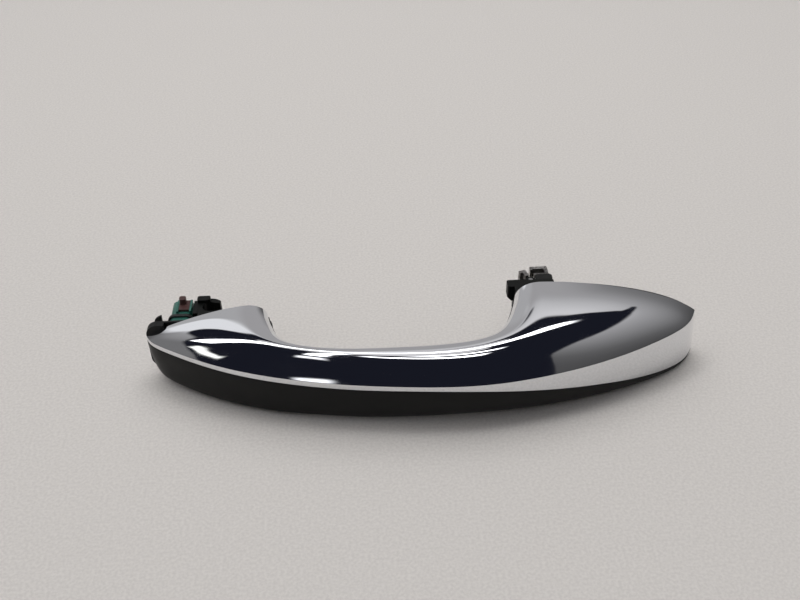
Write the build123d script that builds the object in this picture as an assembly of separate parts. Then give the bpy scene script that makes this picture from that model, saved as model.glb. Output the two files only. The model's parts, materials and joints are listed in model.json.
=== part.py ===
from build123d import *
import math
import os

import numpy as np

# A pull-type outer door handle for a car, in millimetres.
# Frame: +X runs along the handle from the hinge end to the pulled end, +Y points
# into the door, +Z is up on the car. The origin is on the hinge axis, level with
# the crease along the handle. "out" below is the distance outwards from the door plane
# that both feet end in, so y = DOOR_Y - out.

# ---- driving dimensions --------------------------------------------------------
DOOR_Y = -12.0          # plane of the two feet
COVER_WALL = 1.8        # bright cover and lower cover
CARRIER_WALL = 2.2      # finger-side wall of the carrier
SEAM = 0.15             # gap between two shells
BOTTOM_INNER_R = 4.0    # lower corner on the finger side
CARRIER_PROUD = 0.4     # the carrier stands this much proud of the covers on the finger side
WEB_TOP = -4.4          # shelf of the carrier that carries the electronics
WEB_THICK = 1.8
SECTION_STEPS = 24

HINGE_PIN_R = 3.05      # radius of the jaw, for a 6 mm pin
JAW_R = 5.6
HINGE_Z = (-4.6, 3.2)   # bottom and top of the hinge hook, under its lug
SWING_DEG = 8.0

FOOT_PAD = 1.0          # rubber under the front foot
GASKET_BACK = 5.6       # the gasket's door side, measured inwards from the feet
GASKET_GAP = 0.15
REAR_PAD = 1.4

CATCH_X = 136.2         # pivot of the retaining catch
CATCH_IN = 18.6
CATCH_PIN_R = 1.0
HOOK_STEEL = 1.7        # thickness of the steel pull hook

TRAY_X = (62.0, 102.0)
TRAY_OUT = (29.8, 35.2)
TRAY_WALL = 0.8

# Plan of the handle: (run, outer x, outer out, inner x, inner out). The run goes
# from 0 at the front foot to 1 at the rear foot; each station is an upright
# section from the finger side to the outer side.
PLAN = [
    (0.00, -24.6, 2.4, 25.2, 0.0),
    (0.06, -22.0, 6.6, 26.0, 4.0),
    (0.14, -13.5, 12.8, 27.6, 9.6),
    (0.24, 2.0, 21.6, 31.0, 17.2),
    (0.34, 23.0, 30.0, 38.4, 23.4),
    (0.44, 50.0, 36.7, 53.0, 26.4),
    (0.54, 78.0, 40.6, 73.0, 26.6),
    (0.64, 107.0, 41.9, 95.0, 26.4),
    (0.74, 136.0, 37.9, 112.3, 24.2),
    (0.83, 162.0, 30.2, 120.2, 17.0),
    (0.91, 184.5, 19.8, 123.6, 9.5),
    (0.97, 199.2, 8.8, 125.4, 3.4),
    (1.00, 203.0, 1.8, 126.2, 0.0),
]
# Heights and shape along the run: (run, value).
CREASE_Z = [(0, 0.2), (0.3, 0.2), (0.6, 0.0), (0.8, 0.4), (1, 1.0)]
TOP_Z = [(0, 12.2), (0.15, 12.6), (0.3, 12.2), (0.5, 11.6), (0.65, 12.2), (0.8, 15.2), (0.9, 17.2),
         (1, 17.9)]
BOTTOM_Z = [(0, -17.5), (0.14, -19.2), (0.3, -19.6), (0.44, -19.5), (0.54, -19.0), (0.64, -18.2),
            (0.74, -18.3), (0.83, -19.3), (0.91, -20.7), (1, -22.0)]
FACET_H = [(0, 1.8), (0.2, 2.1), (0.5, 2.5), (0.64, 3.3), (0.74, 7.8), (0.83, 13.0), (0.91, 18.0),
           (1, 20.4)]
TOP_SHARE = [(0, 0.16), (0.2, 0.28), (0.35, 0.36), (0.65, 0.36), (0.8, 0.28), (1, 0.135)]
SKIRT = [(0, 6.5), (0.2, 6.0), (0.5, 5.5), (0.8, 7.0), (1, 8.5)]
CREASE_TILT = [(0, 54), (0.1, 43), (0.26, 42), (0.36, 35), (0.46, 28), (0.6, 30), (0.75, 37), (0.9, 40),
               (1, 50)]
CROWN_SHARE = [(0, 0.27), (0.12, 0.36), (0.3, 0.48), (0.5, 0.5), (0.7, 0.5), (0.85, 0.40), (1, 0.30)]
CROWN_REACH = [(0, 0.17), (0.12, 0.28), (0.3, 0.40), (0.6, 0.42), (0.8, 0.36), (1, 0.25)]
BOTTOM_R = [(0, 3.2), (0.14, 3.0), (0.3, 3.2), (0.5, 3.6), (0.64, 6.3), (0.74, 6.0), (0.83, 4.4),
            (0.91, 2.6), (1, 2.2)]
FACET_LEAN = [(0, 0.0), (0.5, 0.3), (0.75, 0.6), (0.9, 0.4), (1, -1.8)]


# ---- helpers -------------------------------------------------------------------
def smooth(pairs):
    """Natural cubic through (position, value) pairs, as a function of position."""
    x = np.array([p[0] for p in pairs], float)
    y = np.array([p[1] for p in pairs], float)
    n = len(x)
    h = np.diff(x)
    a = np.eye(n)
    b = np.zeros(n)
    for i in range(1, n - 1):
        a[i, i - 1:i + 2] = h[i - 1], 2 * (h[i - 1] + h[i]), h[i]
        b[i] = 6 * ((y[i + 1] - y[i]) / h[i] - (y[i] - y[i - 1]) / h[i - 1])
    m = np.linalg.solve(a, b)

    def value(at):
        i = int(min(max(np.searchsorted(x, at, side="right") - 1, 0), n - 2))
        d = at - x[i]
        slope = (y[i + 1] - y[i]) / h[i] - h[i] * (2 * m[i] + m[i + 1]) / 6
        return float(y[i] + d * slope + d * d * m[i] / 2 + d ** 3 * (m[i + 1] - m[i]) / (6 * h[i]))

    return value


outer_x, outer_out, inner_x, inner_out = [smooth([(row[0], row[k]) for row in PLAN]) for k in range(1, 5)]
crease_z, top_z, bottom_z, facet_h, top_share, skirt, crease_tilt = map(
    smooth, (CREASE_Z, TOP_Z, BOTTOM_Z, FACET_H, TOP_SHARE, SKIRT, CREASE_TILT)
)
crown_share, crown_reach, bottom_r, facet_lean = map(smooth, (CROWN_SHARE, CROWN_REACH, BOTTOM_R, FACET_LEAN))


def at(x, out, z):
    """A point given by x, distance outwards from the feet, and height."""
    return Vector(x, DOOR_Y - out, z)


def block(x, out, z):
    """A box between two x values, two outward distances and two heights."""
    (x0, x1), (o0, o1), (z0, z1) = x, out, z
    centre = at((x0 + x1) / 2, (o0 + o1) / 2, (z0 + z1) / 2)
    return Pos(*centre) * Box(abs(x1 - x0), abs(o1 - o0), abs(z1 - z0))


def soft_block(x, out, z, radius, along):
    """A box with the four edges along one axis rounded."""
    body = block(x, out, z)
    return fillet(body.edges().filter_by(along), radius)


def rod_y(x, z, out, radius):
    """A round bar along Y between two outward distances."""
    centre = at(x, (out[0] + out[1]) / 2, z)
    return Pos(*centre) * Rot(90, 0, 0) * Cylinder(radius, abs(out[1] - out[0]))


def rod_z(x, out, z, radius):
    """A round bar along Z between two heights."""
    return Pos(*at(x, out, (z[0] + z[1]) / 2)) * Cylinder(radius, abs(z[1] - z[0]))


def plate_z(points, z):
    """An upright prism over a plan outline of (x, out) points."""
    outline = Polyline(*[at(x, out, z[0]) for x, out in points], close=True)
    return extrude(make_face(outline), z[1] - z[0], dir=(0, 0, 1))


def keys(run, inset):
    """Corner points (width, height) of the section, moved inwards by inset."""
    width = math.hypot(outer_x(run) - inner_x(run), outer_out(run) - inner_out(run))
    top = top_z(run)
    tilt = math.radians(crease_tilt(run))
    lean = facet_lean(run)
    edge = crease_z(run) - facet_h(run)
    floor = bottom_z(run)
    corner = min(bottom_r(run), 0.98 * (edge - floor))
    return {
        "skirt": (inset, top - skirt(run)),
        "top": (top_share(run) * width, top - inset),
        "crease": (width - inset, crease_z(run) - inset * math.tan(tilt / 2)),
        "edge": (width - lean - inset, edge),
        "floor_out": (width - lean - corner, floor + inset),
        "floor_in": (BOTTOM_INNER_R, floor + inset),
        "heel": (inset, floor + BOTTOM_INNER_R),
        "tilt": tilt,
    }


def place(run, point):
    """A (width, height) point of the section, in space."""
    a = np.array([inner_x(run), inner_out(run)])
    b = np.array([outer_x(run), outer_out(run)])
    x, out = a + (b - a) / np.linalg.norm(b - a) * point[0]
    return at(x, out, point[1])


def round_top(run, k, rise=0.6):
    """Skirt, over the finger-side shoulder, to the top line."""
    (w0, z0), (w1, z1) = k["skirt"], k["top"]
    return Bezier(*[place(run, p) for p in (
        (w0, z0), (w0, z0 + rise * (z1 - z0)), (w1 - rise * (w1 - w0), z1), (w1, z1))])


def crown(run, k):
    """Top line, down the bright outer face, to the crease."""
    (w0, z0), (w1, z1) = k["top"], k["crease"]
    reach = crown_reach(run) * math.hypot(w1 - w0, z1 - z0)
    return Bezier(*[place(run, p) for p in (
        (w0, z0), (w0 + crown_share(run) * (w1 - w0), z0),
        (w1 - math.sin(k["tilt"]) * reach, z1 + math.cos(k["tilt"]) * reach), (w1, z1))])


def quarter(run, start, end, upright_first, share=0.55):
    """A quarter-round between an upright line and a level line."""
    (w0, z0), (w1, z1) = start, end
    if upright_first:
        mid = ((w0, z0 + share * (z1 - z0)), (w1 - share * (w1 - w0), z1))
    else:
        mid = ((w0 + share * (w1 - w0), z0), (w1, z1 - share * (z1 - z0)))
    return Bezier(*[place(run, p) for p in (start, *mid, end)])


def line(run, start, end):
    return Line(place(run, start), place(run, end))


def lowered(point, by=SEAM):
    return (point[0], point[1] - by)


def bright_section(run):
    o, i = keys(run, 0.0), keys(run, COVER_WALL)
    return Wire([
        round_top(run, o), crown(run, o), line(run, o["crease"], o["edge"]),
        line(run, o["edge"], i["edge"]), line(run, i["edge"], i["crease"]),
        crown(run, i), round_top(run, i), line(run, i["skirt"], o["skirt"]),
    ])


def lower_section(run):
    o, i = keys(run, 0.0), keys(run, COVER_WALL)
    return Wire([
        quarter(run, lowered(o["edge"]), o["floor_out"], True), line(run, o["floor_out"], o["floor_in"]),
        quarter(run, o["floor_in"], o["heel"], False), line(run, o["heel"], i["heel"]),
        quarter(run, i["floor_in"], i["heel"], False), line(run, i["floor_out"], i["floor_in"]),
        quarter(run, lowered(i["edge"]), i["floor_out"], True),
        line(run, lowered(i["edge"]), lowered(o["edge"])),
    ])


def carrier_section(run):
    o = keys(run, 0.0)
    low = o["heel"][1] + SEAM
    high = o["skirt"][1] - SEAM
    web_end = o["edge"][0] - COVER_WALL - 1.2
    face, wall = -CARRIER_PROUD, CARRIER_WALL
    corners = [
        (face, low), (wall, low), (wall, WEB_TOP - WEB_THICK), (web_end, WEB_TOP - WEB_THICK),
        (web_end, WEB_TOP), (wall, WEB_TOP), (wall, high), (face, high),
    ]
    return Wire.make_polygon([place(run, p) for p in corners], close=True)


def shell(section, first=0.0, last=1.0):
    """Loft of one section along the handle, closer together over the feet."""
    runs = [first + (last - first) * (0.5 - 0.5 * math.cos(math.pi * s / SECTION_STEPS)) ** 0.85
            for s in range(SECTION_STEPS + 1)]
    runs[-1] = last
    return Solid.make_loft([section(r) for r in runs])


def beyond_front_foot():
    """Everything outwards of the front foot's end, which leans back at its tip."""
    (_, tip_x, tip_out, heel_x, heel_out) = PLAN[0]
    slope = (tip_out - heel_out) / (heel_x - tip_x)
    far, near = tip_x - 3, heel_x + 3
    return plate_z([(far, tip_out + 3 * slope), (near, -3 * slope), (near, 9), (far, 9)], (-30, 30))


def foot_outline(run, inset):
    """Filled outline of the handle's section at a foot."""
    k = keys(run, inset)
    return make_face(Wire([
        round_top(run, k), crown(run, k), line(run, k["crease"], k["edge"]),
        quarter(run, k["edge"], k["floor_out"], True), line(run, k["floor_out"], k["floor_in"]),
        quarter(run, k["floor_in"], k["heel"], False), line(run, k["heel"], k["skirt"]),
    ]).edges())


# ---- shells --------------------------------------------------------------------
FRONT_SCREW = (18.6, 2.0)     # x and height of the cover screw in the front foot
REAR_SCREW = (168.0, -1.0)
SCREW_R = 1.5
BOSS_R = 3.2
FLANGE = (2.6, 4.0)           # the carrier's screw flanges, outwards from the feet
# Snap fingers: x, distance outwards, height of the finger's foot.
CLIPS = ((52.0, 31.5, -18.4), (76.0, 32.5, -18.0), (100.0, 32.5, -17.2))


def bright_cover():
    """Chrome-plated outer shell with a screw boss in each foot."""
    body = shell(bright_section)
    for (x, z), rib_top in ((FRONT_SCREW, 11.6), (REAR_SCREW, 12.6)):
        body += rod_y(x, z, (FLANGE[1], 13.0), BOSS_R)
        body += block((x - 0.9, x + 0.9), (6.0, 12.5), (z, rib_top))
        body -= rod_y(x, z, (3.0, 11.5), SCREW_R)
    return body


def lower_cover():
    """Satin black lower shell with snap fingers that hook over the carrier's web."""
    body = shell(lower_section)
    for x, out, foot in CLIPS:
        body += block((x - 2.5, x + 2.5), (out, out + 1.2), (foot, WEB_TOP + 1.0))
        body += block((x - 2.5, x + 2.5), (out + 1.2, out + 1.8), (WEB_TOP + 0.1, WEB_TOP + 0.9))
    return body


def inner_carrier():
    """Glass-filled nylon frame: finger-side wall, web, foot blocks and ribs."""
    body = shell(carrier_section)
    body += block((-6.0, 15.0), (0.0, 9.0), (-12.0, 4.2))
    body += block((-17.0, -5.9), (0.0, 5.0), (-10.5, -1.0))
    body += block((14.9, 22.4), FLANGE, (-8.0, 6.6))
    body += block((126.4, 150.0), (0.0, 9.0), (-12.0, 7.5))
    body += block((149.9, 173.0), FLANGE, (-8.0, 3.8))
    for x in (46.0, 64.0, 88.0, 108.0):
        body += block((x - 0.6, x + 0.6), (27.6, 32.0), (-11.0, WEB_TOP - WEB_THICK + 0.1))
    for x, z in (FRONT_SCREW, REAR_SCREW):
        body -= rod_y(x, z, (2.0, 5.0), SCREW_R + 0.1)
    for x, out, _ in CLIPS:
        body -= block((x - 2.6, x + 2.6), (out - 0.1, out + 1.9),
                      (WEB_TOP - WEB_THICK - 1, WEB_TOP + 0.05))
    body -= block(*HINGE_TENON)
    body -= block(*PULL_TENON)
    body -= block(CONNECTOR_X, (-1.0, CONNECTOR_FRONT), CONNECTOR_Z)
    body -= block((PIN_X[0] - 1, PIN_X[1] + 1), (CONNECTOR_FRONT - 0.1, 6.0),
                  (PIN_Z[0] - 1, PIN_Z[1] + 4))
    for x, out in ROLL_PINS:
        body -= rod_z(x, out, ROLL_PIN_Z, ROLL_PIN_R)
    return body


# ---- hooks ---------------------------------------------------------------------
HINGE_ARM_X = (-4.6, 3.2)
LUG_Z = (-4.0, 4.6)
HINGE_TENON = (HINGE_ARM_X, (0.0, 6.5), (HINGE_Z[0], 3.0))
PULL_TENON = ((129.5, 141.5), (0.0, 7.0), (-5.5, 4.5))
ROLL_PINS = ((-0.7, 3.4), (135.5, 3.6))
ROLL_PIN_R = 1.5
ROLL_PIN_Z = (-11.0, 4.2)
MOUTH_DIRECTION = -10.0
MOUTH_WIDTH = 5.6
LIP_END = 3.6           # the jaw's lips end this far from the axis


def hinge_hook():
    """C-shaped jaw that turns on the door bracket's pin, with a tenon in the foot
    and a side rib next to the plug."""
    jaw = rod_z(0, DOOR_Y, HINGE_Z, JAW_R)
    jaw -= Rot(0, 0, MOUTH_DIRECTION) * Pos(LIP_END + 5, 0, 0) * Box(10, 20, 30)
    body = jaw + block(HINGE_ARM_X, (-9.0, 0.0), HINGE_Z) + block(*HINGE_TENON)
    body += soft_block((-5.4, 0.0), (-14.6, -17.8), LUG_Z, 0.8, Axis.Z)
    body += block((-6.9, -4.0), (-8.2, -17.0), (HINGE_Z[0], 2.8))
    body -= rod_z(0, DOOR_Y, (-30, 30), HINGE_PIN_R)
    body -= Rot(0, 0, MOUTH_DIRECTION) * Pos(5, 0, 0) * Box(10, MOUTH_WIDTH, 30)
    return body - rod_z(*ROLL_PINS[0], ROLL_PIN_Z, ROLL_PIN_R)


ARM_Z = (-7.0, 6.0)
ARM_X = (128.4, 145.8)
TOE_X = 125.6           # tip of the toe that reaches past the arm, towards the hinge
STEM_X = (141.4, 141.4 + HOOK_STEEL)
STEM_Z = (-6.0, 3.4)
HOOK_Z = (-6.0, 5.0)
NECK = ((140.0, 145.0), (-17.0, -22.0), (-5.5, 1.5))


def pull_arm():
    """Black arm behind the rear foot: toe, catch ears and a slot for the steel hook."""
    low, high = ARM_Z
    body = soft_block(ARM_X, (0.0, -18.2), ARM_Z, 1.2, Axis.Z)
    body -= soft_block((130.2, 137.6), (-2.5, -13.0), (low - 1, 3.5), 1.2, Axis.Z)
    toe = block((TOE_X, ARM_X[0] + 2), (-13.4, -18.2), (-1.5, high))
    toe = chamfer(toe.edges().filter_by(Axis.Y).sort_by(Axis.X)[:2].sort_by(Axis.Z)[0], 1.9)
    body += fillet(toe.edges().filter_by(Axis.Z).sort_by(Axis.X)[:2], 0.8)
    body += block(*NECK) + block((129.5, 141.5), (7.0, -2.0), PULL_TENON[2])
    for z in ((-5.4, -2.6), (2.6, 5.4)):
        body += rod_z(CATCH_X, -CATCH_IN, z, 2.1)
    body -= rod_z(CATCH_X, -CATCH_IN, (-2.6, 2.6), 2.7)
    body -= rod_z(CATCH_X, -CATCH_IN, (-6, 6), CATCH_PIN_R)
    body -= rod_z(*ROLL_PINS[1], ROLL_PIN_Z, ROLL_PIN_R)
    return body - block(STEM_X, (-9.0, -23.0), STEM_Z)


def pull_hook():
    """Bent steel hook: stem in the arm, and a C that opens forwards."""
    s = HOOK_STEEL
    left, right, near, far = 137.2, 144.9, -22.4, -28.9
    points = [
        (138.4, near), (138.4, near - s), (right - s, near - s), (right - s, far + s), (left + 1, far + s),
        (left + 1, far + 2.5), (left, far + 2.5), (left, far), (right, far), (right, near),
    ]
    body = plate_z(points, HOOK_Z)
    corners = [e for e in body.edges().filter_by(Axis.Z) if e.center().X > right - 0.1]
    return fillet(corners, 1.2) + block(STEM_X, (-9.0, near - 0.5), STEM_Z)


def hook_buffer():
    """Rubber buffer over the neck and the stem, behind the steel hook."""
    body = soft_block((138.5, 145.8), (-18.3, -22.3), (-6.0, 5.6), 1.4, Axis.Z)
    return body - block(*NECK) - block(STEM_X, (-17.0, -23.0), STEM_Z)


def roll_pins():
    """Spring-steel roll pins that lock each hook's tenon in its foot."""
    return [rod_z(x, out, ROLL_PIN_Z, ROLL_PIN_R) - rod_z(x, out, (-12, 6), 0.8) for x, out in ROLL_PINS]


# ---- retaining catch -----------------------------------------------------------
CATCH_LEAN = 18.0


def retaining_catch():
    """Grey lever that keeps the hook in the door bracket until it is pressed."""
    hub = Cylinder(2.2, 3.0)
    neck = Pos(0, 2.0, 0) * Box(2.2, 3.6, 3.0)
    blade = Pos(0, 5.2, 2.4) * Box(1.8, 4.4, 8.2)
    blade = fillet(blade.edges().filter_by(Axis.Z), 0.6)
    tip = Pos(-0.9, 6.6, 2.4) * Box(2.4, 1.6, 8.2)
    body = hub + neck + blade + tip - Cylinder(CATCH_PIN_R + 0.05, 5)
    return Pos(*at(CATCH_X, -CATCH_IN, -0.9)) * Rot(0, 0, CATCH_LEAN) * body


def catch_spring():
    """Envelope of the small torsion spring beside the catch's hub."""
    ring = Cylinder(2.0, 1.7) - Cylinder(1.15, 2)
    return Pos(*at(CATCH_X, -CATCH_IN, 1.6)) * ring


# ---- connector -----------------------------------------------------------------
CONNECTOR_X = (-16.2, -7.2)
CONNECTOR_Z = (-7.5, 2.4)
CONNECTOR_FRONT = 1.8
CONNECTOR_END = -17.6
CONNECTOR_ROUND = 2.4
SOCKET_WALL = 1.2
SOCKET_DEPTH = 8.0
PIN_X = (-13.2, -10.0)
PIN_Z = (-4.8, -1.5)
LOCK_X = (-12.7, -8.4)
LOCK_POST = (-12.6, -9.9)


def connector_housing():
    """Teal plug body with a socket at its door end and a lock groove on top."""
    (x0, x1), (z0, z1) = CONNECTOR_X, CONNECTOR_Z
    body = soft_block(CONNECTOR_X, (CONNECTOR_FRONT, CONNECTOR_END), CONNECTOR_Z, CONNECTOR_ROUND, Axis.Y)
    body -= soft_block((x0 + SOCKET_WALL, x1 - SOCKET_WALL),
                       (CONNECTOR_END - 1, CONNECTOR_END + SOCKET_DEPTH),
                       (z0 + SOCKET_WALL, z1 - SOCKET_WALL), CONNECTOR_ROUND - SOCKET_WALL, Axis.Y)
    for side in (LOCK_X[0] - 0.9, LOCK_X[1] + 0.1):
        body += block((side, side + 0.8), (-9.0, -16.8), (z1 - 0.6, z1 + 1.2))
    for x in PIN_X:
        for z in PIN_Z:
            body -= rod_y(x, z, (3.0, CONNECTOR_END + SOCKET_DEPTH - 1), 0.4)
    return body


def connector_lock():
    """Red-brown slide that locks the mating plug."""
    top = CONNECTOR_Z[1]
    body = block(LOCK_X, (-10.2, -16.6), (top + 0.05, top + 1.1))
    return body + soft_block(LOCK_POST, (-13.6, -16.4), (top + 1.0, top + 3.6), 0.8, Axis.Z)


def connector_terminals():
    """Four brass blades through the housing."""
    return [rod_y(x, z, (3.6, CONNECTOR_END + 3.0), 0.4) for x in PIN_X for z in PIN_Z]


def connector_seal():
    """Rubber lip ring round the housing, just inside the door skin."""
    (x0, x1), (z0, z1) = CONNECTOR_X, CONNECTOR_Z
    ring = soft_block((x0 - 0.9, x1 + 0.9), (-6.3, -7.9), (z0 - 0.9, z1 + 0.9), CONNECTOR_ROUND + 0.9,
                      Axis.Y)
    return ring - soft_block(CONNECTOR_X, (-6, -8), CONNECTOR_Z, CONNECTOR_ROUND, Axis.Y)


# ---- rubber against the door ---------------------------------------------------
PAD_X, PAD_Z, PAD_R = (-24.5, 26.4), (-16.0, 5.1), 4.4
GASKET_X, GASKET_Z = (-22.4, 20.0), (-15.6, 4.8)


def front_foot_pad():
    """Rubber pad that fills the front foot's end, close round the plug and the arm."""
    body = soft_block(PAD_X, (3.0, -FOOT_PAD), PAD_Z, PAD_R, Axis.Y) - beyond_front_foot()
    body -= block((-17.1, 15.1), (0.0, 4.0), (-12.1, 6.0))
    for (x0, x1), (z0, z1) in ((CONNECTOR_X, CONNECTOR_Z), (HINGE_ARM_X, HINGE_Z)):
        body -= block((x0 - 0.4, x1 + 0.4), (1, -FOOT_PAD - 1), (z0 - 0.4, z1 + 0.4))
    return body


def door_gasket():
    """Rubber gasket on the door skin, open at its top for the plug and the jaw,
    and relieved where the foot dips as it swings."""
    front, back = -FOOT_PAD - GASKET_GAP, -GASKET_BACK
    body = soft_block(GASKET_X, (front, back), GASKET_Z, PAD_R, Axis.Y)
    depth = (1, back - 1)
    body -= block((CONNECTOR_X[0] - 2.6, JAW_R + 1.0), depth, (CONNECTOR_Z[0] - 1.1, 9.0))
    start, slope = 3.0, math.tan(math.radians(SWING_DEG + 0.3))
    far = -32.0
    relief = plate_z([(start, front + 1), (far, front + 1), (far, front - slope * (start - far)),
                      (start, front)], (-30, 30))
    return body - relief


def rear_foot_pad():
    """Thin rubber pad under the rear foot, open round the arm."""
    body = extrude(foot_outline(1.0, 1.5), 6.0, dir=(0, 1, 0))
    body -= block((100.0, 230.0), (-REAR_PAD, -9.0), (-40, 40))
    body -= block((120.0, 150.2), (0.0, 3.0), (-12.2, 7.7))
    body -= rod_y(*REAR_SCREW, (0.5, 3.0), 3.1)
    return body - block((120.0, ARM_X[1] + 0.5), (1, -3), (ARM_Z[0] - 0.4, ARM_Z[1] + 0.4))


# ---- electronics ---------------------------------------------------------------
BOARD_Z = (-3.2, -2.2)


def electronics_tray():
    """Open plastic tray on the web, notched at the front for the wires."""
    (x0, x1), (o0, o1), w = TRAY_X, TRAY_OUT, TRAY_WALL
    body = block(TRAY_X, TRAY_OUT, (WEB_TOP + 0.05, 4.4))
    body -= block((x0 + w, x1 - w), (o0 + w, o1 - w), (WEB_TOP + 0.9, 6))
    body -= block((x0 - 1, x0 + 2), (o0 + w, o1 - w), (-3.4, 6))
    for x, out, _ in CLIPS:
        body -= block((x - 2.8, x + 2.8), (out - 0.2, out + 2.0), (WEB_TOP - 1, WEB_TOP + 1.1))
    return body


def board_x():
    return (TRAY_X[0] + 1.2, TRAY_X[1] - 1.2)


def circuit_board():
    return block(board_x(), (30.75, 34.25), BOARD_Z)


def board_chips():
    """Sensor controller, driver and two small parts on the board."""
    top = BOARD_Z[1]
    sizes = ((70.0, 3.0, 1.1), (80.0, 2.6, 1.0), (88.0, 1.6, 0.8), (93.0, 1.6, 0.8))
    return [block((x - s, x + s), (32.3 - s / 2, 32.5 + s / 2), (top, top + h)) for x, s, h in sizes]


ANTENNA_X = (66.0, 100.0)
ANTENNA_Z = 1.6
ANTENNA_OUT = 32.5


def antenna_bar(half_width, half_height, x):
    return block(x, (ANTENNA_OUT - half_width, ANTENNA_OUT + half_width),
                 (ANTENNA_Z - half_height, ANTENNA_Z + half_height))


def antenna_core():
    """Ferrite rod of the keyless-entry antenna."""
    return antenna_bar(0.9, 1.0, ANTENNA_X)


def antenna_bobbin():
    """Plastic bobbin with two end flanges."""
    x0, x1 = ANTENNA_X
    body = antenna_bar(1.2, 1.3, (x0 + 1, x1 - 1))
    body += antenna_bar(1.8, 2.0, (x0 + 1, x0 + 2))
    body += antenna_bar(1.8, 2.0, (x1 - 2, x1 - 1))
    return body - antenna_core()


def antenna_winding():
    """Copper winding between the bobbin's flanges."""
    x0, x1 = ANTENNA_X
    return antenna_bar(1.6, 1.8, (x0 + 2, x1 - 2)) - antenna_bar(1.2, 1.3, ANTENNA_X)


def unlock_electrode():
    """Copper sensor plate behind the finger-side wall."""
    return block((64.0, 96.0), (28.95, 29.2), (-3.6, 4.6))


def sensor_foam():
    """Foam strip that presses the unlock plate against the wall."""
    return block((66.0, 94.0), (29.2, TRAY_OUT[0]), (-3.0, 4.0))


def lock_electrode():
    """Copper sensor plate for locking, ahead of the tray."""
    return block((45.0, 57.0), (32.0, 32.3), (WEB_TOP + 1.2, 4.0))


WIRE_R = 0.55
WIRE_PLAN = [(-11.6, 3.6), (-11.6, 11.0), (1.0, 16.5), (15.0, 22.4), (29.0, 27.6), (43.0, 30.2),
             (56.0, 31.0), (TRAY_X[0] + 1.1, 32.2)]


def wires():
    """Three insulated wires side by side from the plug to the board."""
    made = []
    for n in range(3):
        z = -2.6 + 1.3 * n
        path = FilletPolyline(*[at(x, out, z) for x, out in WIRE_PLAN], radius=3.0)
        start = Plane(origin=path @ 0, z_dir=path % 0)
        made.append(sweep(start * Circle(WIRE_R), path=path))
    return made


# ---- fasteners -----------------------------------------------------------------
def cover_screws():
    """Pan-head screws from each foot's flange into the bright cover's boss."""
    made = []
    for x, z in (FRONT_SCREW, REAR_SCREW):
        body = rod_y(x, z, (FLANGE[0], 11.0), SCREW_R) + rod_y(x, z, (0.9, FLANGE[0]), 2.8)
        body -= block((x - 0.5, x + 0.5), (0.5, 1.8), (z - 2.0, z + 2.0))
        body -= block((x - 2.0, x + 2.0), (0.5, 1.8), (z - 0.5, z + 0.5))
        made.append(body)
    return made


def catch_pin():
    return rod_z(CATCH_X, -CATCH_IN, (-5.6, 5.6), CATCH_PIN_R)


PARTS = {
    "chrome_cover": bright_cover, "lower_cover": lower_cover, "inner_carrier": inner_carrier,
    "hinge_hook": hinge_hook, "pull_arm": pull_arm, "pull_hook": pull_hook, "hook_buffer": hook_buffer,
    "roll_pins": roll_pins, "retaining_catch": retaining_catch, "catch_pin": catch_pin,
    "catch_spring": catch_spring, "connector_housing": connector_housing, "connector_lock": connector_lock,
    "connector_terminals": connector_terminals, "connector_seal": connector_seal,
    "front_foot_pad": front_foot_pad, "door_gasket": door_gasket, "rear_foot_pad": rear_foot_pad,
    "electronics_tray": electronics_tray, "circuit_board": circuit_board, "board_chips": board_chips,
    "antenna_core": antenna_core, "antenna_bobbin": antenna_bobbin, "antenna_winding": antenna_winding,
    "unlock_electrode": unlock_electrode, "sensor_foam": sensor_foam, "lock_electrode": lock_electrode,
    "wires": wires, "cover_screws": cover_screws,
}

os.makedirs("parts", exist_ok=True)
for name, make in PARTS.items():
    made = make()
    pieces = list(made) if isinstance(made, (list, ShapeList)) else [made]
    solids = [solid for piece in pieces for solid in piece.solids()]
    export_step(Compound(children=solids) if len(solids) > 1 else solids[0], f"parts/{name}.step")
    print(name, len(solids), round(sum(solid.volume for solid in solids)))
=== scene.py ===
"""Looks of the car door handle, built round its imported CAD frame. Lengths are in metres."""
import json
import math

import bmesh
import bpy
import numpy as np
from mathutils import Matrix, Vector


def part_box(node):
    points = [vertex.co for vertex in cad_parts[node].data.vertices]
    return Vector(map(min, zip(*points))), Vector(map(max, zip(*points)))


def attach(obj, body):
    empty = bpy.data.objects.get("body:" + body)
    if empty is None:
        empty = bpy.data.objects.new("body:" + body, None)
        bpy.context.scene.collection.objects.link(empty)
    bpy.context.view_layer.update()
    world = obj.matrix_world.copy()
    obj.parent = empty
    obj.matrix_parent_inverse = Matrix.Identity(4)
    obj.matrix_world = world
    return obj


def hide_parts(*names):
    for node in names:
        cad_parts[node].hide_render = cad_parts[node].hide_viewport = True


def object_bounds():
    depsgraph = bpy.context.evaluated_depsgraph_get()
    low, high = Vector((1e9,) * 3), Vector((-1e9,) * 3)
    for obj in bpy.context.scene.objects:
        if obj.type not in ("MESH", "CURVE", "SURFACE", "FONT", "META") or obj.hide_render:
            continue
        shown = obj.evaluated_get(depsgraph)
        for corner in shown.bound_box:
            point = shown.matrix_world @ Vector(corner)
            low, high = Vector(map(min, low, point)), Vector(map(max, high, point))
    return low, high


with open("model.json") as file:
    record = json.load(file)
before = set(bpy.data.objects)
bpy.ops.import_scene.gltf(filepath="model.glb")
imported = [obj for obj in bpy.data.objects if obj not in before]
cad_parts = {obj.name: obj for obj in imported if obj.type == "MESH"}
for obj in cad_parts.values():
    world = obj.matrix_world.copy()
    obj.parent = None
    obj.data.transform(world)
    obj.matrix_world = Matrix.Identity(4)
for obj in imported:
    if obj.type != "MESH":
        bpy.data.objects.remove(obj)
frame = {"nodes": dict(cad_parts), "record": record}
CAD_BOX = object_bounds()
MM = 0.001

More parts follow.
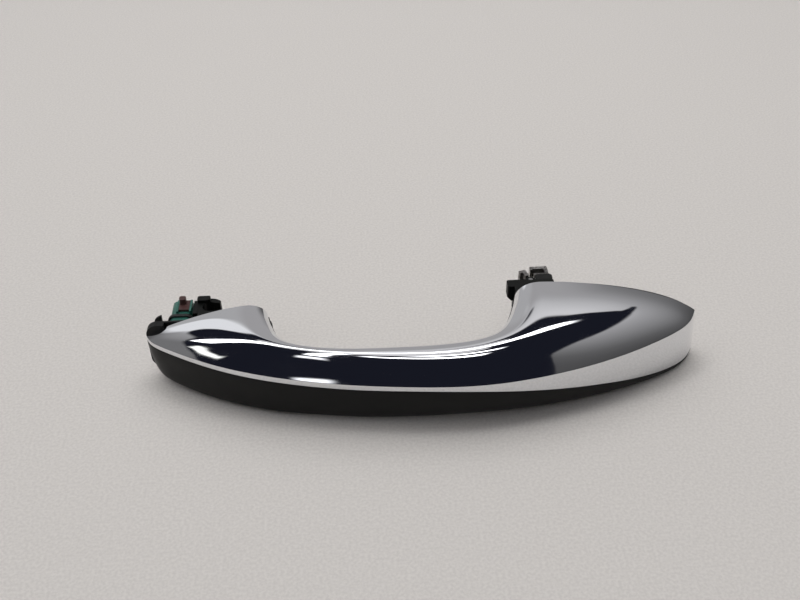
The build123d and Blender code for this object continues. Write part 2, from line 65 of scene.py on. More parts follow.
# ---- the handle's outline, as the CAD source has it, in millimetres -----------------
DOOR_Y = -12.0          # plane of the feet
COVER_WALL = 1.8        # wall of both shells
SEAM = 0.15             # gap between the two shells
HEEL_R = 4.0            # rounding of the finger side's lower edge
EDGE_ROUND = 0.32       # rounding of the shells' rims
CREASE_ROUND = 0.30     # rounding of the crease
RUN_STEPS = 260         # sections along the handle

# run, outer x, outer distance from the feet, inner x, inner distance
PLAN = [
    (0.00, -24.6, 2.4, 25.2, 0.0), (0.06, -22.0, 6.6, 26.0, 4.0), (0.14, -13.5, 12.8, 27.6, 9.6),
    (0.24, 2.0, 21.6, 31.0, 17.2), (0.34, 23.0, 30.0, 38.4, 23.4), (0.44, 50.0, 36.7, 53.0, 26.4),
    (0.54, 78.0, 40.6, 73.0, 26.6), (0.64, 107.0, 41.9, 95.0, 26.4), (0.74, 136.0, 37.9, 112.3, 24.2),
    (0.83, 162.0, 30.2, 120.2, 17.0), (0.91, 184.5, 19.8, 123.6, 9.5), (0.97, 199.2, 8.8, 125.4, 3.4),
    (1.00, 203.0, 1.8, 126.2, 0.0),
]
CREASE_Z = [(0, 0.2), (0.3, 0.2), (0.6, 0.0), (0.8, 0.4), (1, 1.0)]
TOP_Z = [(0, 12.2), (0.15, 12.6), (0.3, 12.2), (0.5, 11.6), (0.65, 12.2), (0.8, 15.2), (0.9, 17.2),
         (1, 17.9)]
BOTTOM_Z = [(0, -17.5), (0.14, -19.2), (0.3, -19.6), (0.44, -19.5), (0.54, -19.0), (0.64, -18.2),
            (0.74, -18.3), (0.83, -19.3), (0.91, -20.7), (1, -22.0)]
FACET_H = [(0, 1.8), (0.2, 2.1), (0.5, 2.5), (0.64, 3.3), (0.74, 7.8), (0.83, 13.0), (0.91, 18.0),
           (1, 20.4)]
TOP_SHARE = [(0, 0.16), (0.2, 0.28), (0.35, 0.36), (0.65, 0.36), (0.8, 0.28), (1, 0.135)]
SKIRT = [(0, 6.5), (0.2, 6.0), (0.5, 5.5), (0.8, 7.0), (1, 8.5)]
CREASE_TILT = [(0, 54), (0.1, 43), (0.26, 42), (0.36, 35), (0.46, 28), (0.6, 30), (0.75, 37), (0.9, 40),
               (1, 50)]
CROWN_SHARE = [(0, 0.27), (0.12, 0.36), (0.3, 0.48), (0.5, 0.5), (0.7, 0.5), (0.85, 0.40), (1, 0.30)]
CROWN_REACH = [(0, 0.17), (0.12, 0.28), (0.3, 0.40), (0.6, 0.42), (0.8, 0.36), (1, 0.25)]
BOTTOM_R = [(0, 3.2), (0.14, 3.0), (0.3, 3.2), (0.5, 3.6), (0.64, 6.3), (0.74, 6.0), (0.83, 4.4),
            (0.91, 2.6), (1, 2.2)]
FACET_LEAN = [(0, 0.0), (0.5, 0.3), (0.75, 0.6), (0.9, 0.4), (1, -1.8)]


def smooth(pairs):
    """Natural cubic through (position, value) pairs, as a function of position."""
    x = np.array([p[0] for p in pairs], float)
    y = np.array([p[1] for p in pairs], float)
    n = len(x)
    h = np.diff(x)
    a = np.eye(n)
    b = np.zeros(n)
    for i in range(1, n - 1):
        a[i, i - 1:i + 2] = h[i - 1], 2 * (h[i - 1] + h[i]), h[i]
        b[i] = 6 * ((y[i + 1] - y[i]) / h[i] - (y[i] - y[i - 1]) / h[i - 1])
    m = np.linalg.solve(a, b)

    def value(at):
        i = int(min(max(np.searchsorted(x, at, side="right") - 1, 0), n - 2))
        d = at - x[i]
        slope = (y[i + 1] - y[i]) / h[i] - h[i] * (2 * m[i] + m[i + 1]) / 6
        return float(y[i] + d * slope + d * d * m[i] / 2 + d ** 3 * (m[i + 1] - m[i]) / (6 * h[i]))

    return value


outer_x, outer_out, inner_x, inner_out = [smooth([(row[0], row[k]) for row in PLAN]) for k in range(1, 5)]
crease_z, top_z, bottom_z, facet_h, top_share, skirt, crease_tilt = map(
    smooth, (CREASE_Z, TOP_Z, BOTTOM_Z, FACET_H, TOP_SHARE, SKIRT, CREASE_TILT)
)
crown_share, crown_reach, bottom_r, facet_lean = map(
    smooth, (CROWN_SHARE, CROWN_REACH, BOTTOM_R, FACET_LEAN)
)


def keys(run, inset):
    """Corner points (width, height) of the section, moved inwards by inset."""
    width = math.hypot(outer_x(run) - inner_x(run), outer_out(run) - inner_out(run))
    top = top_z(run)
    tilt = math.radians(crease_tilt(run))
    lean = facet_lean(run)
    edge = crease_z(run) - facet_h(run)
    floor = bottom_z(run)
    corner = min(bottom_r(run), 0.98 * (edge - floor))
    return {
        "skirt": (inset, top - skirt(run)),
        "top": (top_share(run) * width, top - inset),
        "crease": (width - inset, crease_z(run) - inset * math.tan(tilt / 2)),
        "edge": (width - lean - inset, edge),
        "floor_out": (width - lean - corner, floor + inset),
        "floor_in": (HEEL_R, floor + inset),
        "heel": (inset, floor + HEEL_R),
        "tilt": tilt,
    }


def place(run, points):
    """(width, height) points of the section, in space, in metres."""
    a = np.array([inner_x(run), inner_out(run)])
    b = np.array([outer_x(run), outer_out(run)])
    step = (b - a) / np.linalg.norm(b - a)
    return [(MM * (a[0] + step[0] * w), MM * (DOOR_Y - a[1] - step[1] * w), MM * z) for w, z in points]


# ---- strokes of a section ------------------------------------------------------------
def bezier(points, count, last=1.0):
    """Points along a Bezier curve of degree 2 or 3, up to the share last of it."""
    points = [np.array(p, float) for p in points]
    n = len(points) - 1
    t = np.linspace(0, last, count)[:, None]
    return sum(math.comb(n, k) * (1 - t) ** (n - k) * t ** k * p for k, p in enumerate(points))


def toward(a, b, distance):
    a, b = np.array(a, float), np.array(b, float)
    return a + (b - a) * distance / np.linalg.norm(b - a)


def corner(before, at, after, radius, count=6):
    """A small rounding at a corner, tangent to both of its sides."""
    return bezier([toward(at, before, radius), at, toward(at, after, radius)], count)


def round_top(k, count, rise=0.6):
    (w0, z0), (w1, z1) = k["skirt"], k["top"]
    return bezier([(w0, z0), (w0, z0 + rise * (z1 - z0)), (w1 - rise * (w1 - w0), z1), (w1, z1)], count)


def crown(run, k, count, trim=0.0):
    """From the top line down the outer face; trim stops it that far above the crease."""
    (w0, z0), (w1, z1) = k["top"], k["crease"]
    reach = crown_reach(run) * math.hypot(w1 - w0, z1 - z0)
    mid = (w1 - math.sin(k["tilt"]) * reach, z1 + math.cos(k["tilt"]) * reach)
    return bezier([(w0, z0), (w0 + crown_share(run) * (w1 - w0), z0), mid, (w1, z1)], count,
                  1 - trim / (3 * reach))


def quarter(start, end, count, upright_first, share=0.55):
    (w0, z0), (w1, z1) = start, end
    if upright_first:
        mid = ((w0, z0 + share * (z1 - z0)), (w1 - share * (w1 - w0), z1))
    else:
        mid = ((w0 + share * (w1 - w0), z0), (w1, z1 - share * (z1 - z0)))
    return bezier([start, *mid, end], count)


def chrome_loop(run):
    """Closed section of the bright cover: skirt, top, crease, facet and back inside."""
    o, i = keys(run, 0.0), keys(run, COVER_WALL)
    top = round_top(o, 26)
    face = crown(run, o, 60, CREASE_ROUND)
    fold = bezier([face[-1], o["crease"], toward(o["crease"], o["edge"], CREASE_ROUND)], 5)
    facet = np.linspace(fold[-1], toward(o["edge"], o["crease"], EDGE_ROUND), 8)
    rim = corner(o["crease"], o["edge"], i["edge"], EDGE_ROUND)
    rim_in = corner(o["edge"], i["edge"], i["crease"], EDGE_ROUND, 3)
    lip = bezier([(EDGE_ROUND, o["skirt"][1]), o["skirt"], (0, o["skirt"][1] + EDGE_ROUND)], 5)
    start = int(np.searchsorted(top[:, 1], lip[-1][1] + 0.05))
    return np.vstack([
        lip, top[start:], face[1:], fold[1:], facet[1:], rim[1:], rim_in, crown(run, i, 16)[::-1],
        round_top(i, 8)[::-1][1:],
    ])


def lower_loop(run):
    """Closed section of the black lower cover."""
    o, i = keys(run, 0.0), keys(run, COVER_WALL)
    edge, edge_in = (o["edge"][0], o["edge"][1] - SEAM), (i["edge"][0], i["edge"][1] - SEAM)
    lip = bezier([(edge[0] - EDGE_ROUND, edge[1]), edge, (edge[0], edge[1] - EDGE_ROUND)], 6)
    side = quarter((edge[0], edge[1] - EDGE_ROUND), o["floor_out"], 26, True)
    sole = np.linspace(o["floor_out"], o["floor_in"], 14)
    heel = quarter(o["floor_in"], o["heel"], 12, False)
    return np.vstack([
        lip, side[1:], sole[1:], heel[1:],
        [i["heel"]], quarter(i["floor_in"], i["heel"], 5, False)[::-1],
        np.linspace(i["floor_in"], i["floor_out"], 5)[1:],
        quarter(edge_in, i["floor_out"], 8, True)[::-1][1:],
    ])


# ---- pieces --------------------------------------------------------------------------
def mesh_object(name, bm, smooth_angle=35):
    mesh = bpy.data.meshes.new(name)
    bmesh.ops.recalc_face_normals(bm, faces=bm.faces)
    bm.to_mesh(mesh)
    bm.free()
    obj = bpy.data.objects.new(name, mesh)
    bpy.context.scene.collection.objects.link(obj)
    mesh.shade_smooth()
    mesh.set_sharp_from_angle(angle=math.radians(smooth_angle))
    return obj


def shell(name, loop):
    """A closed shell: the section's loop carried along the handle, capped at both feet."""
    bm = bmesh.new()
    rings = []
    for s in range(RUN_STEPS + 1):
        run = s / RUN_STEPS
        rings.append([bm.verts.new(p) for p in place(run, loop(run))])
    for a, b in zip(rings, rings[1:]):
        for j in range(len(a)):
            k = (j + 1) % len(a)
            bm.faces.new((a[j], a[k], b[k], b[j]))
    caps = [bm.faces.new(rings[0]), bm.faces.new(rings[-1])]
    bmesh.ops.triangulate(bm, faces=caps, ngon_method="EAR_CLIP")
    return mesh_object(name, bm)


# ---- materials -----------------------------------------------------------------------
NOISE_DARK, NOISE_LIGHT = 0.35, 0.65    # noise values that give the two colours of a look
NOISE_LOW, NOISE_HIGH = 0.3, 0.7        # noise values that give its two roughnesses


class Look:
    """A procedural material under construction. The colour and roughness it starts with stay
    on the shader's own sockets, for a viewer that can't follow noise. Noise scales are in
    cycles per metre, and depths in metres."""

    def __init__(self, name, color, roughness, metallic=0.0, **sockets):
        self.material = bpy.data.materials.new(name)
        self.material.use_nodes = True
        self.tree = self.material.node_tree
        self.shader = self.tree.nodes["Principled BSDF"]
        self.shader.inputs["Base Color"].default_value = (*color, 1)
        self.shader.inputs["Roughness"].default_value = roughness
        self.shader.inputs["Metallic"].default_value = metallic
        for key, value in sockets.items():
            self.shader.inputs[key.replace("_", " ")].default_value = value
        self.coords = self.tree.nodes.new("ShaderNodeTexCoord")

    def noise(self, scale, detail=3.0, stretch=(1, 1, 1)):
        mapping = self.tree.nodes.new("ShaderNodeMapping")
        mapping.inputs["Scale"].default_value = stretch
        tex = self.tree.nodes.new("ShaderNodeTexNoise")
        tex.inputs["Scale"].default_value = scale
        tex.inputs["Detail"].default_value = detail
        self.tree.links.new(self.coords.outputs["Object"], mapping.inputs["Vector"])
        self.tree.links.new(mapping.outputs["Vector"], tex.inputs["Vector"])
        return tex.outputs["Fac"]

    def ramp(self, value, stops):
        node = self.tree.nodes.new("ShaderNodeValToRGB")
        ramp = node.color_ramp
        while len(ramp.elements) < len(stops):
            ramp.elements.new(0.5)
        for element, (position, color) in zip(ramp.elements, stops):
            element.position = position
            element.color = (*color, 1)
        self.tree.links.new(value, node.inputs["Fac"])
        return node.outputs["Color"]

    def color(self, value, dark, light):
        stops = [(NOISE_DARK, dark), (NOISE_LIGHT, light)]
        self.tree.links.new(self.ramp(value, stops), self.shader.inputs["Base Color"])

    def roughness(self, value, low, high):
        node = self.tree.nodes.new("ShaderNodeMapRange")
        node.inputs["From Min"].default_value = NOISE_LOW
        node.inputs["From Max"].default_value = NOISE_HIGH
        node.inputs["To Min"].default_value = low
        node.inputs["To Max"].default_value = high
        self.tree.links.new(value, node.inputs["Value"])
        self.tree.links.new(node.outputs["Result"], self.shader.inputs["Roughness"])

    def bump(self, value, strength, distance):
        node = self.tree.nodes.new("ShaderNodeBump")
        node.inputs["Strength"].default_value = strength
        node.inputs["Distance"].default_value = distance
        self.tree.links.new(value, node.inputs["Height"])
        self.tree.links.new(node.outputs["Normal"], self.shader.inputs["Normal"])


def chrome_look():
    """Bright plate: wiping streaks in its gloss along the handle, and a very slight waviness."""
    look = Look("chrome_plate", (0.80, 0.81, 0.83), 0.035, 1.0)
    look.roughness(look.noise(220, 5, (0.25, 1, 1)), 0.02, 0.065)
    look.bump(look.noise(90, 2), 0.035, 0.0002)
    return look


def moulded_look(name, dark, light, low=0.36, high=0.5, grain=2600, depth=0.00005, strength=0.35,
                 **sockets):
    """Spark-eroded moulded plastic or rubber: fine grain, and slow changes of colour and gloss."""
    look = Look(name, light, 0.45, **sockets)
    look.color(look.noise(60, 4), dark, light)
    look.roughness(look.noise(180, 3), low, high)
    look.bump(look.noise(grain, 2), strength, depth)
    return look


def metal_look(name, dark, light, low, high, stretch=(1, 1, 1), grain=900, strength=0.2):
    """Bare or plated metal: stains between two colours, uneven gloss and a fine grain."""
    look = Look(name, light, 0.35, 1.0)
    look.color(look.noise(300, 5), dark, light)
    look.roughness(look.noise(500, 4, stretch), low, high)
    look.bump(look.noise(grain, 4, stretch), strength, 0.00004)
    return look


LOOKS = {
    "chrome": chrome_look(),
    "satin_black": moulded_look(
        "satin_black_plastic", (0.0040, 0.0041, 0.0040), (0.0062, 0.0062, 0.0060), 0.30, 0.42,
        Specular_IOR_Level=0.16),
    "carrier_black": moulded_look(
        "glass_filled_nylon", (0.006, 0.006, 0.006), (0.011, 0.011, 0.011), 0.42, 0.6, 1500),
    "hook_black": moulded_look(
        "hook_nylon", (0.0035, 0.004, 0.0035), (0.007, 0.0075, 0.0065), 0.3, 0.5, 1300,
        Specular_IOR_Level=0.16),
    "rubber_black": moulded_look(
        "black_rubber", (0.004, 0.004, 0.004), (0.008, 0.008, 0.0075), 0.4, 0.6, 1800,
        Specular_IOR_Level=0.3),
    "seal_rubber": moulded_look(
        "seal_silicone", (0.008, 0.0085, 0.008), (0.014, 0.015, 0.014), 0.4, 0.55, 900),
    "teal_plastic": moulded_look(
        "teal_plastic", (0.018, 0.085, 0.066), (0.032, 0.13, 0.10), 0.25, 0.4, 1400),
    "red_brown_plastic": moulded_look(
        "red_brown_plastic", (0.045, 0.018, 0.016), (0.075, 0.03, 0.026), 0.35, 0.5, 1400),
    "tray_plastic": moulded_look("grey_tray_plastic", (0.05, 0.05, 0.055), (0.08, 0.08, 0.085)),
    "board_green": moulded_look("board_green", (0.006, 0.07, 0.03), (0.01, 0.11, 0.045), 0.2, 0.35, 700),
    "chip_black": moulded_look("chip_black", (0.01, 0.01, 0.01), (0.018, 0.018, 0.018)),
    "bobbin_plastic": moulded_look("natural_nylon", (0.55, 0.5, 0.4), (0.68, 0.63, 0.5)),
    "foam_grey": moulded_look(
        "grey_foam", (0.08, 0.08, 0.085), (0.16, 0.16, 0.17), 0.8, 0.95, 1200, 0.0004, 0.8),
    "wire_jacket": moulded_look("wire_jacket", (0.30, 0.02, 0.015), (0.38, 0.03, 0.02), 0.3, 0.4, 500),
    "ferrite": metal_look("ferrite", (0.03, 0.03, 0.032), (0.07, 0.07, 0.072), 0.5, 0.7),
    "zinc_steel": metal_look(
        "zinc_plated_steel", (0.16, 0.155, 0.15), (0.50, 0.49, 0.47), 0.22, 0.45),
    "spring_steel": metal_look(
        "spring_steel", (0.25, 0.25, 0.25), (0.42, 0.42, 0.42), 0.25, 0.4, (1, 1, 0.1)),
    "catch_metal": metal_look(
        "tumbled_zinc", (0.10, 0.085, 0.08), (0.42, 0.41, 0.40), 0.3, 0.55, (1, 1, 1), 500, 0.6),
    "brass": metal_look("brass", (0.62, 0.43, 0.16), (0.78, 0.58, 0.26), 0.2, 0.35),
    "copper": metal_look("copper", (0.66, 0.28, 0.15), (0.80, 0.40, 0.25), 0.22, 0.4),
}

# Edge radii of the CAD pieces that show, in millimetres.
EDGE_RADII = {
    "hinge_hook": 0.35, "pull_arm": 0.35, "hook_buffer": 0.3, "pull_hook": 0.2, "retaining_catch": 0.2,
    "connector_housing": 0.25, "connector_lock": 0.15, "connector_seal": 0.3, "front_foot_pad": 0.3,
    "door_gasket": 0.4, "rear_foot_pad": 0.3,
}
SHARP_DEGREES = 40      # an edge that turns by more gets a radius
WELD_GAP = 0.001        # millimetres between points that are one point
SLOT_OF = {row["node"]: row["material_slot"] for row in frame["record"]["subparts"]}
BODY_OF = {node: body for body, nodes in frame["record"]["behaviour"]["bodies"].items() for node in nodes}


def dress(obj, slot_name):
    """Gives an object its slot's material in every material slot."""
    material = LOOKS[slot_name].material
    if not obj.data.materials:
        obj.data.materials.append(material)
    for n in range(len(obj.data.materials)):
        obj.data.materials[n] = material


def stands_for(obj, node):
    """A Blender piece that takes a CAD node's place."""
    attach(obj, BODY_OF[node])
    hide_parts(node)
    dress(obj, SLOT_OF[node])


def soften(obj, width):
    """Small radii, in millimetres, on the sharp edges of a CAD piece."""
    weld = obj.modifiers.new("weld", "WELD")
    weld.merge_threshold = WELD_GAP * MM
    bevel = obj.modifiers.new("edge_radii", "BEVEL")
    bevel.limit_method = "ANGLE"
    bevel.angle_limit = math.radians(SHARP_DEGREES)
    bevel.width = width * MM
    bevel.segments = 2
    bevel.use_clamp_overlap = True
    obj.modifiers.new("even_normals", "WEIGHTED_NORMAL")


for node_name, node_object in frame["nodes"].items():
    dress(node_object, SLOT_OF[node_name])
for node_name, radius in EDGE_RADII.items():
    soften(frame["nodes"][node_name], radius)


SPRING_WIRE_R = 0.22    # millimetres
SPRING_TURNS = 3.0
SPRING_STEPS = 96       # points along the wire
SPRING_FIT = 0.98       # share of the radius that is drawn, so that the wire stays in its box


def tube(name, path, radius, sides=10):
    """A round wire along a path of points, closed at both ends; lengths in millimetres."""
    bm = bmesh.new()
    path = [Vector(p) for p in path]
    angles = [2 * math.pi * k / sides for k in range(sides)]
    rings = []
    for n, point in enumerate(path):
        along = (path[min(n + 1, len(path) - 1)] - path[max(n - 1, 0)]).normalized()
        side = along.cross(Vector((0, 0, 1))).normalized()
        up = side.cross(along)
        round_it = [radius * (math.cos(a) * side + math.sin(a) * up) for a in angles]
        rings.append([bm.verts.new(MM * (point + offset)) for offset in round_it])
    for a, b in zip(rings, rings[1:]):
        for j in range(sides):
            k = (j + 1) % sides
            bm.faces.new((a[j], a[k], b[k], b[j]))
    bm.faces.new(rings[0])
    bm.faces.new(rings[-1])
    return mesh_object(name, bm, 50)


def torsion_spring():
    """Turns of wire round the catch pin, in the CAD ring's place, in millimetres."""
    low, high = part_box("catch_spring")
    centre = (Vector(low) + Vector(high)) / 2 / MM
    reach = (high[0] - low[0]) / 2 / MM - SPRING_WIRE_R
    rise = (high[2] - low[2]) / MM - 2 * SPRING_WIRE_R
    path = []
    for n in range(SPRING_STEPS + 1):
        share = n / SPRING_STEPS
        angle = 2 * math.pi * SPRING_TURNS * share
        path.append((centre.x + reach * math.cos(angle), centre.y + reach * math.sin(angle),
                     low[2] / MM + SPRING_WIRE_R + rise * share))
    return tube("spring_wire", path, SPRING_FIT * SPRING_WIRE_R)


stands_for(shell("bright_shell", chrome_loop), "chrome_cover")
stands_for(shell("lower_shell", lower_loop), "lower_cover")
stands_for(torsion_spring(), "catch_spring")


# ---- floor, surroundings and camera --------------------------------------------------
MIDDLE_X = 0.09         # middle of the handle
FLOOR_RADIUS = 4.0
FLOOR_FRONT_Y = -0.26   # the floor's near edge: past it the chrome mirrors the dark studio
BACKDROP = (0.56, 0.53, 0.505)      # what the camera sees past the floor
DARK_FIELD = (0.010, 0.011, 0.018)
LAMP = (4.2, 4.2, 4.3)
LAMP_EDGE = 0.015       # softness of a ceiling lamp's long edges, as y/z
TAPER_FROM = 0.3        # x/z where a tapered lamp starts to narrow


def floor():
    bm = bmesh.new()
    bmesh.ops.create_circle(bm, cap_ends=True, segments=64, radius=FLOOR_RADIUS)
    obj = mesh_object("floor", bm)
    obj.location = (MIDDLE_X, FLOOR_FRONT_Y + FLOOR_RADIUS, CAD_BOX[0].z)
    look = Look("floor_paint", (0.55, 0.525, 0.50), 0.75)
    look.color(look.noise(900, 3), (0.515, 0.49, 0.465), (0.585, 0.56, 0.53))
    obj.data.materials.append(look.material)


class Sky:
    """The studio round the object, as light from each direction. Azimuth is 0 straight out
    of the handle's outer face and grows towards its pulled end. Angles are in degrees."""

    def __init__(self):
        world = bpy.data.worlds.new("studio")
        bpy.context.scene.world = world
        world.use_nodes = True
        self.tree = world.node_tree
        self.background = self.tree.nodes["Background"]
        coords = self.tree.nodes.new("ShaderNodeTexCoord")
        split = self.tree.nodes.new("ShaderNodeSeparateXYZ")
        self.tree.links.new(coords.outputs["Generated"], split.inputs[0])
        x, y, z = split.outputs
        self.azimuth = self.math("DEGREES", self.math("ARCTAN2", x, self.math("MULTIPLY", y, -1.0)))
        self.elevation = self.math("DEGREES", self.math("ARCSINE", z))
        above = self.math("MAXIMUM", z, 0.02)       # keeps places on the ceiling finite
        self.ceiling_x = self.math("DIVIDE", x, above)
        self.ceiling_y = self.math("DIVIDE", y, above)
        self.light = None

    def math(self, operation, *values):
        """A math node over numbers and sockets."""
        node = self.tree.nodes.new("ShaderNodeMath")
        node.operation = operation
        for socket, value in zip(node.inputs, values):
            if isinstance(value, (int, float)):
                socket.default_value = value
            else:
                self.tree.links.new(value, socket)
        return node.outputs[0]

    def share(self, angle, half_range):
        """An angle in -half_range..half_range as 0..1."""
        return self.math("DIVIDE", self.math("ADD", angle, half_range), 2 * half_range)

    def step(self, value, zero_at, one_at):
        """Smooth step from 0 to 1."""
        node = self.tree.nodes.new("ShaderNodeMapRange")
        node.interpolation_type = "SMOOTHSTEP"
        low, high = min(zero_at, one_at), max(zero_at, one_at)
        node.inputs["From Min"].default_value = low
        node.inputs["From Max"].default_value = high
        node.inputs["To Min"].default_value = float(zero_at > one_at)
        node.inputs["To Max"].default_value = float(one_at > zero_at)
        self.tree.links.new(value, node.inputs["Value"])
        return node.outputs["Result"]

    def curve(self, points):
        """An elevation for each azimuth, smooth through (azimuth, elevation) points."""
        node = self.tree.nodes.new("ShaderNodeFloatCurve")
        line = node.mapping.curves[0]
        spots = [((az + 180) / 360, (el + 90) / 180) for az, el in points]
        line.points[0].location, line.points[1].location = spots[0], spots[-1]
        for spot in spots[1:-1]:
            line.points.new(*spot)
        node.mapping.update()
        self.tree.links.new(self.share(self.azimuth, 180.0), node.inputs["Value"])
        return self.math("SUBTRACT", self.math("MULTIPLY", node.outputs["Value"], 180.0), 90.0)

    def band(self, low, high, soft, start, end, fade):
        """1 between two lines of elevation and two azimuths, 0 outside, with soft edges."""
        over = self.step(self.math("SUBTRACT", self.elevation, low), -soft, soft)
        under = self.step(self.math("SUBTRACT", high, self.elevation), -soft, soft)
        sides = self.math("MULTIPLY", self.step(self.azimuth, start - fade, start + fade),
                          self.step(self.azimuth, end + fade, end - fade))
        return self.math("MULTIPLY", self.math("MULTIPLY", over, under), sides)

    def ceiling_lamp(self, centre, slope, half, start, end, fade=0.04, taper=0.0):
        """A lamp across the ceiling. Places on the ceiling are x/z and y/z of the direction;
        the lamp runs along x from start to end, at y/z = centre + slope * x/z. Past TAPER_FROM
        its half width shrinks by taper times the way gone."""
        line = self.math("ADD", self.math("MULTIPLY", self.ceiling_x, slope), centre)
        away = self.math("ABSOLUTE", self.math("SUBTRACT", self.ceiling_y, line))
        if taper:
            past = self.math("MAXIMUM", self.math("SUBTRACT", self.ceiling_x, TAPER_FROM), 0.0)
            away = self.math("ADD", away, self.math("MULTIPLY", past, taper))
        ends = self.math("MULTIPLY", self.step(self.ceiling_x, start - fade, start + fade),
                         self.step(self.ceiling_x, end + fade, end - fade))
        across = self.math("MULTIPLY", self.step(away, half + LAMP_EDGE, half - LAMP_EDGE), ends)
        above_horizon = self.step(self.elevation, 3, 5)
        return self.math("MULTIPLY", across, above_horizon)

    def paint(self, mask, color):
        """Lays a colour over what is there, where the mask is 1."""
        mix = self.tree.nodes.new("ShaderNodeMix")
        mix.data_type = "RGBA"
        factor, below, above = mix.inputs[0], mix.inputs[6], mix.inputs[7]
        above.default_value = (*color, 1)
        self.tree.links.new(mask, factor)
        self.tree.links.new(self.light, below)
        self.light = mix.outputs[2]

    def grey_by_height(self, stops):
        """The room's grey, from (elevation, grey) pairs."""
        node = self.tree.nodes.new("ShaderNodeValToRGB")
        ramp = node.color_ramp
        while len(ramp.elements) < len(stops):
            ramp.elements.new(0.5)
        for element, (height, grey) in zip(ramp.elements, stops):
            element.position = (height + 90) / 180
            element.color = (grey, grey * 0.985, grey, 1)
        self.tree.links.new(self.share(self.elevation, 90.0), node.inputs["Fac"])
        self.light = node.outputs["Color"]

    def finish(self, seen):
        """The camera itself sees one plain pale colour behind the floor."""
        path = self.tree.nodes.new("ShaderNodeLightPath")
        self.paint(path.outputs["Is Camera Ray"], seen)
        self.tree.links.new(self.light, self.background.inputs["Color"])


def room(sky):
    """The studio's walls and ceiling, and its bright corner behind the hinge end."""
    sky.grey_by_height([
        (-90, 0.30), (-20, 0.12), (4, 0.075), (10, 0.095), (16, 0.125), (22, 0.18), (28, 0.24),
        (35, 0.31), (42, 0.39), (50, 0.55), (58, 0.70), (72, 0.74), (88, 0.60),
    ])
    sky.paint(sky.band(-20, 27, 6, -112, -58, 6), (0.19, 0.187, 0.19))
    from_front = sky.math("ABSOLUTE", sky.azimuth)
    back_wall = sky.math("MULTIPLY", sky.step(from_front, 150, 166), sky.step(sky.elevation, 50, 38))
    sky.paint(back_wall, (0.39, 0.38, 0.385))
    sky.paint(sky.band(-25, 44, 6, -168, -147, 5), (0.44, 0.435, 0.44))
    glow_low = sky.curve([
        (-180, 46), (-166, 42), (-160, 39), (-156, 33), (-152, 18), (-148, 12), (-138, 19),
        (-128, 27), (-118, 35), (-108, 42), (180, 42),
    ])
    sky.paint(sky.band(glow_low, 55, 5, -166, -100, 6), (0.86, 0.86, 0.88))


def dark_field(sky):
    """The dark part overhead and in front, which the grip mirrors, with a point towards the
    pulled end."""
    low = sky.curve([
        (-180, 50), (-166, 48), (-157, 50), (-147, 52), (-135, 51), (-126, 46.5), (-118, 43.5),
        (-110, 41.5), (-100, 40.5), (-92, 39.5), (-85, 37), (-79, 31.5), (-75, 27), (-70, 21.5),
        (-66, 16), (-62, 11), (-58, 5), (-52, -2), (-45, -12), (-20, -30), (10, -30), (28, -20),
        (33, 8), (36, 21), (40, 26), (45, 31), (52, 36), (60, 39.5), (70, 42.5), (80, 44.5),
        (90, 45.8), (104, 46.8), (110, 49), (115, 53), (122, 57), (130, 60), (140, 61), (160, 60.5),
        (180, 60),
    ])
    high = sky.curve([
        (-180, 54), (-150, 60), (-120, 62), (-90, 62), (-60, 62), (-30, 66), (0, 70), (30, 76),
        (60, 82), (100, 84), (140, 80), (165, 70), (180, 63),
    ])
    sky.paint(sky.band(low, high, 1.0, -178, 176, 3), DARK_FIELD)
    point_low = sky.curve([(-180, 47), (98, 46.4), (108, 45.2), (120, 42.2), (180, 30)])
    point_high = sky.curve([(-180, 53), (98, 52), (108, 50), (114, 47), (120, 44.2), (180, 30)])
    sky.paint(sky.band(point_low, point_high, 0.5, 98, 120, 2), DARK_FIELD)


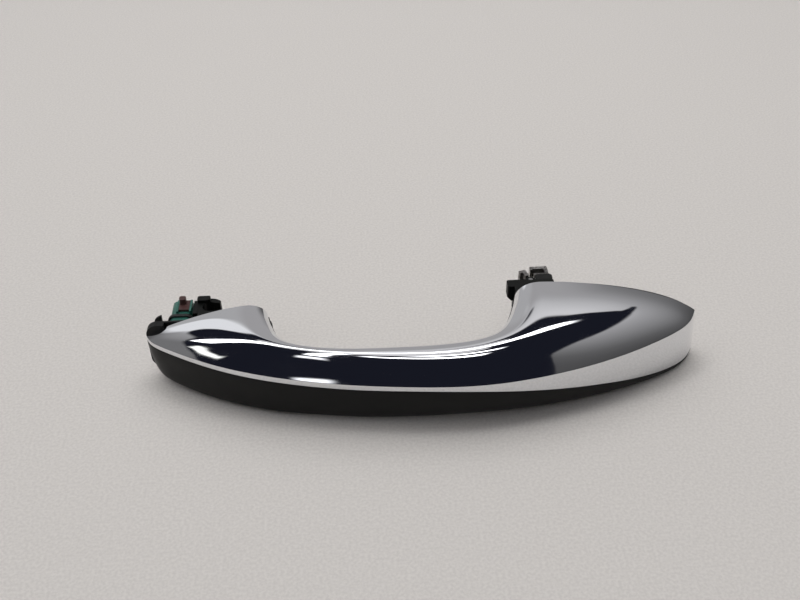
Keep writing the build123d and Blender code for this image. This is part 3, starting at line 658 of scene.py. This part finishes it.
def studio_lamps(sky):
    """Four long lamps overhead, an upright one, and two dimmer ones low on the hinge side."""
    sky.paint(sky.ceiling_lamp(0.243, 0.435, 0.10, -1.62, -0.26), LAMP)
    sky.paint(sky.ceiling_lamp(0.13, -0.03, 0.085, -0.34, 0.50, 0.09, 0.2), LAMP)
    sky.paint(sky.ceiling_lamp(-0.78, 0.0, 0.09, -0.17, 0.24), LAMP)
    sky.paint(sky.ceiling_lamp(-0.42, 0.0, 0.05, -0.02, 0.25), LAMP)
    sky.paint(sky.band(22, 68, 3, -27, -21, 1.5), LAMP)
    sky.paint(sky.band(6.5, 14, 2, -28.5, -21, 1.5), (1.6, 1.6, 1.65))
    leaf_low = sky.curve([
        (-180, 30), (-69, 20), (-64, 16), (-61, 12.8), (-57, 10.4), (-52.5, 8.2), (180, -10),
    ])
    leaf_high = sky.curve([
        (-180, 35), (-69, 24), (-64, 20.5), (-61, 16.4), (-57, 12.6), (-52.5, 9.2), (180, -9),
    ])
    sky.paint(sky.band(leaf_low, leaf_high, 0.5, -68, -53, 1.0), (1.4, 1.4, 1.35))


def surroundings():
    sky = Sky()
    room(sky)
    dark_field(sky)
    studio_lamps(sky)
    sky.finish(BACKDROP)


def fill_lamp():
    """Soft light over and behind the handle, for the floor and the dull parts."""
    data = bpy.data.lights.new("soft_lamp", "AREA")
    data.shape = "RECTANGLE"
    data.size, data.size_y = 1.3, 0.9
    data.energy = 8.2
    obj = bpy.data.objects.new("soft_lamp", data)
    bpy.context.scene.collection.objects.link(obj)
    obj.location = (0.05, 0.35, 1.1)
    aim = Vector((MIDDLE_X, -0.03, 0.0)) - obj.location
    obj.rotation_mode = "QUATERNION"
    obj.rotation_quaternion = aim.to_track_quat("-Z", "Y")
    obj.visible_camera = False
    obj.visible_glossy = False


def camera():
    """The viewing angle: 40 degrees up, 4 degrees to the hinge side of square on."""
    azimuth, elevation, half_view = math.radians(-4), math.radians(40), math.radians(22.5)
    half_width = 0.160      # half of what fits across the picture at the target
    target = Vector((0.088, -0.032, 0.0))
    back = Vector((math.sin(azimuth) * math.cos(elevation), -math.cos(azimuth) * math.cos(elevation),
                   math.sin(elevation)))
    data = bpy.data.cameras.new("camera")
    obj = bpy.data.objects.new("camera", data)
    bpy.context.scene.collection.objects.link(obj)
    data.sensor_width = 36.0
    data.lens = data.sensor_width / 2 / math.tan(half_view)
    data.shift_x, data.shift_y = -0.03125, 0.065    # the handle lies right of and below the middle
    data.clip_start, data.clip_end = 0.01, 20
    obj.location = target + back * (half_width / math.tan(half_view))
    obj.rotation_mode = "QUATERNION"
    obj.rotation_quaternion = (-back).to_track_quat("-Z", "Y")
    bpy.context.scene.camera = obj


camera()
floor()
surroundings()
fill_lamp()
bpy.context.scene.view_settings.view_transform = "Standard"
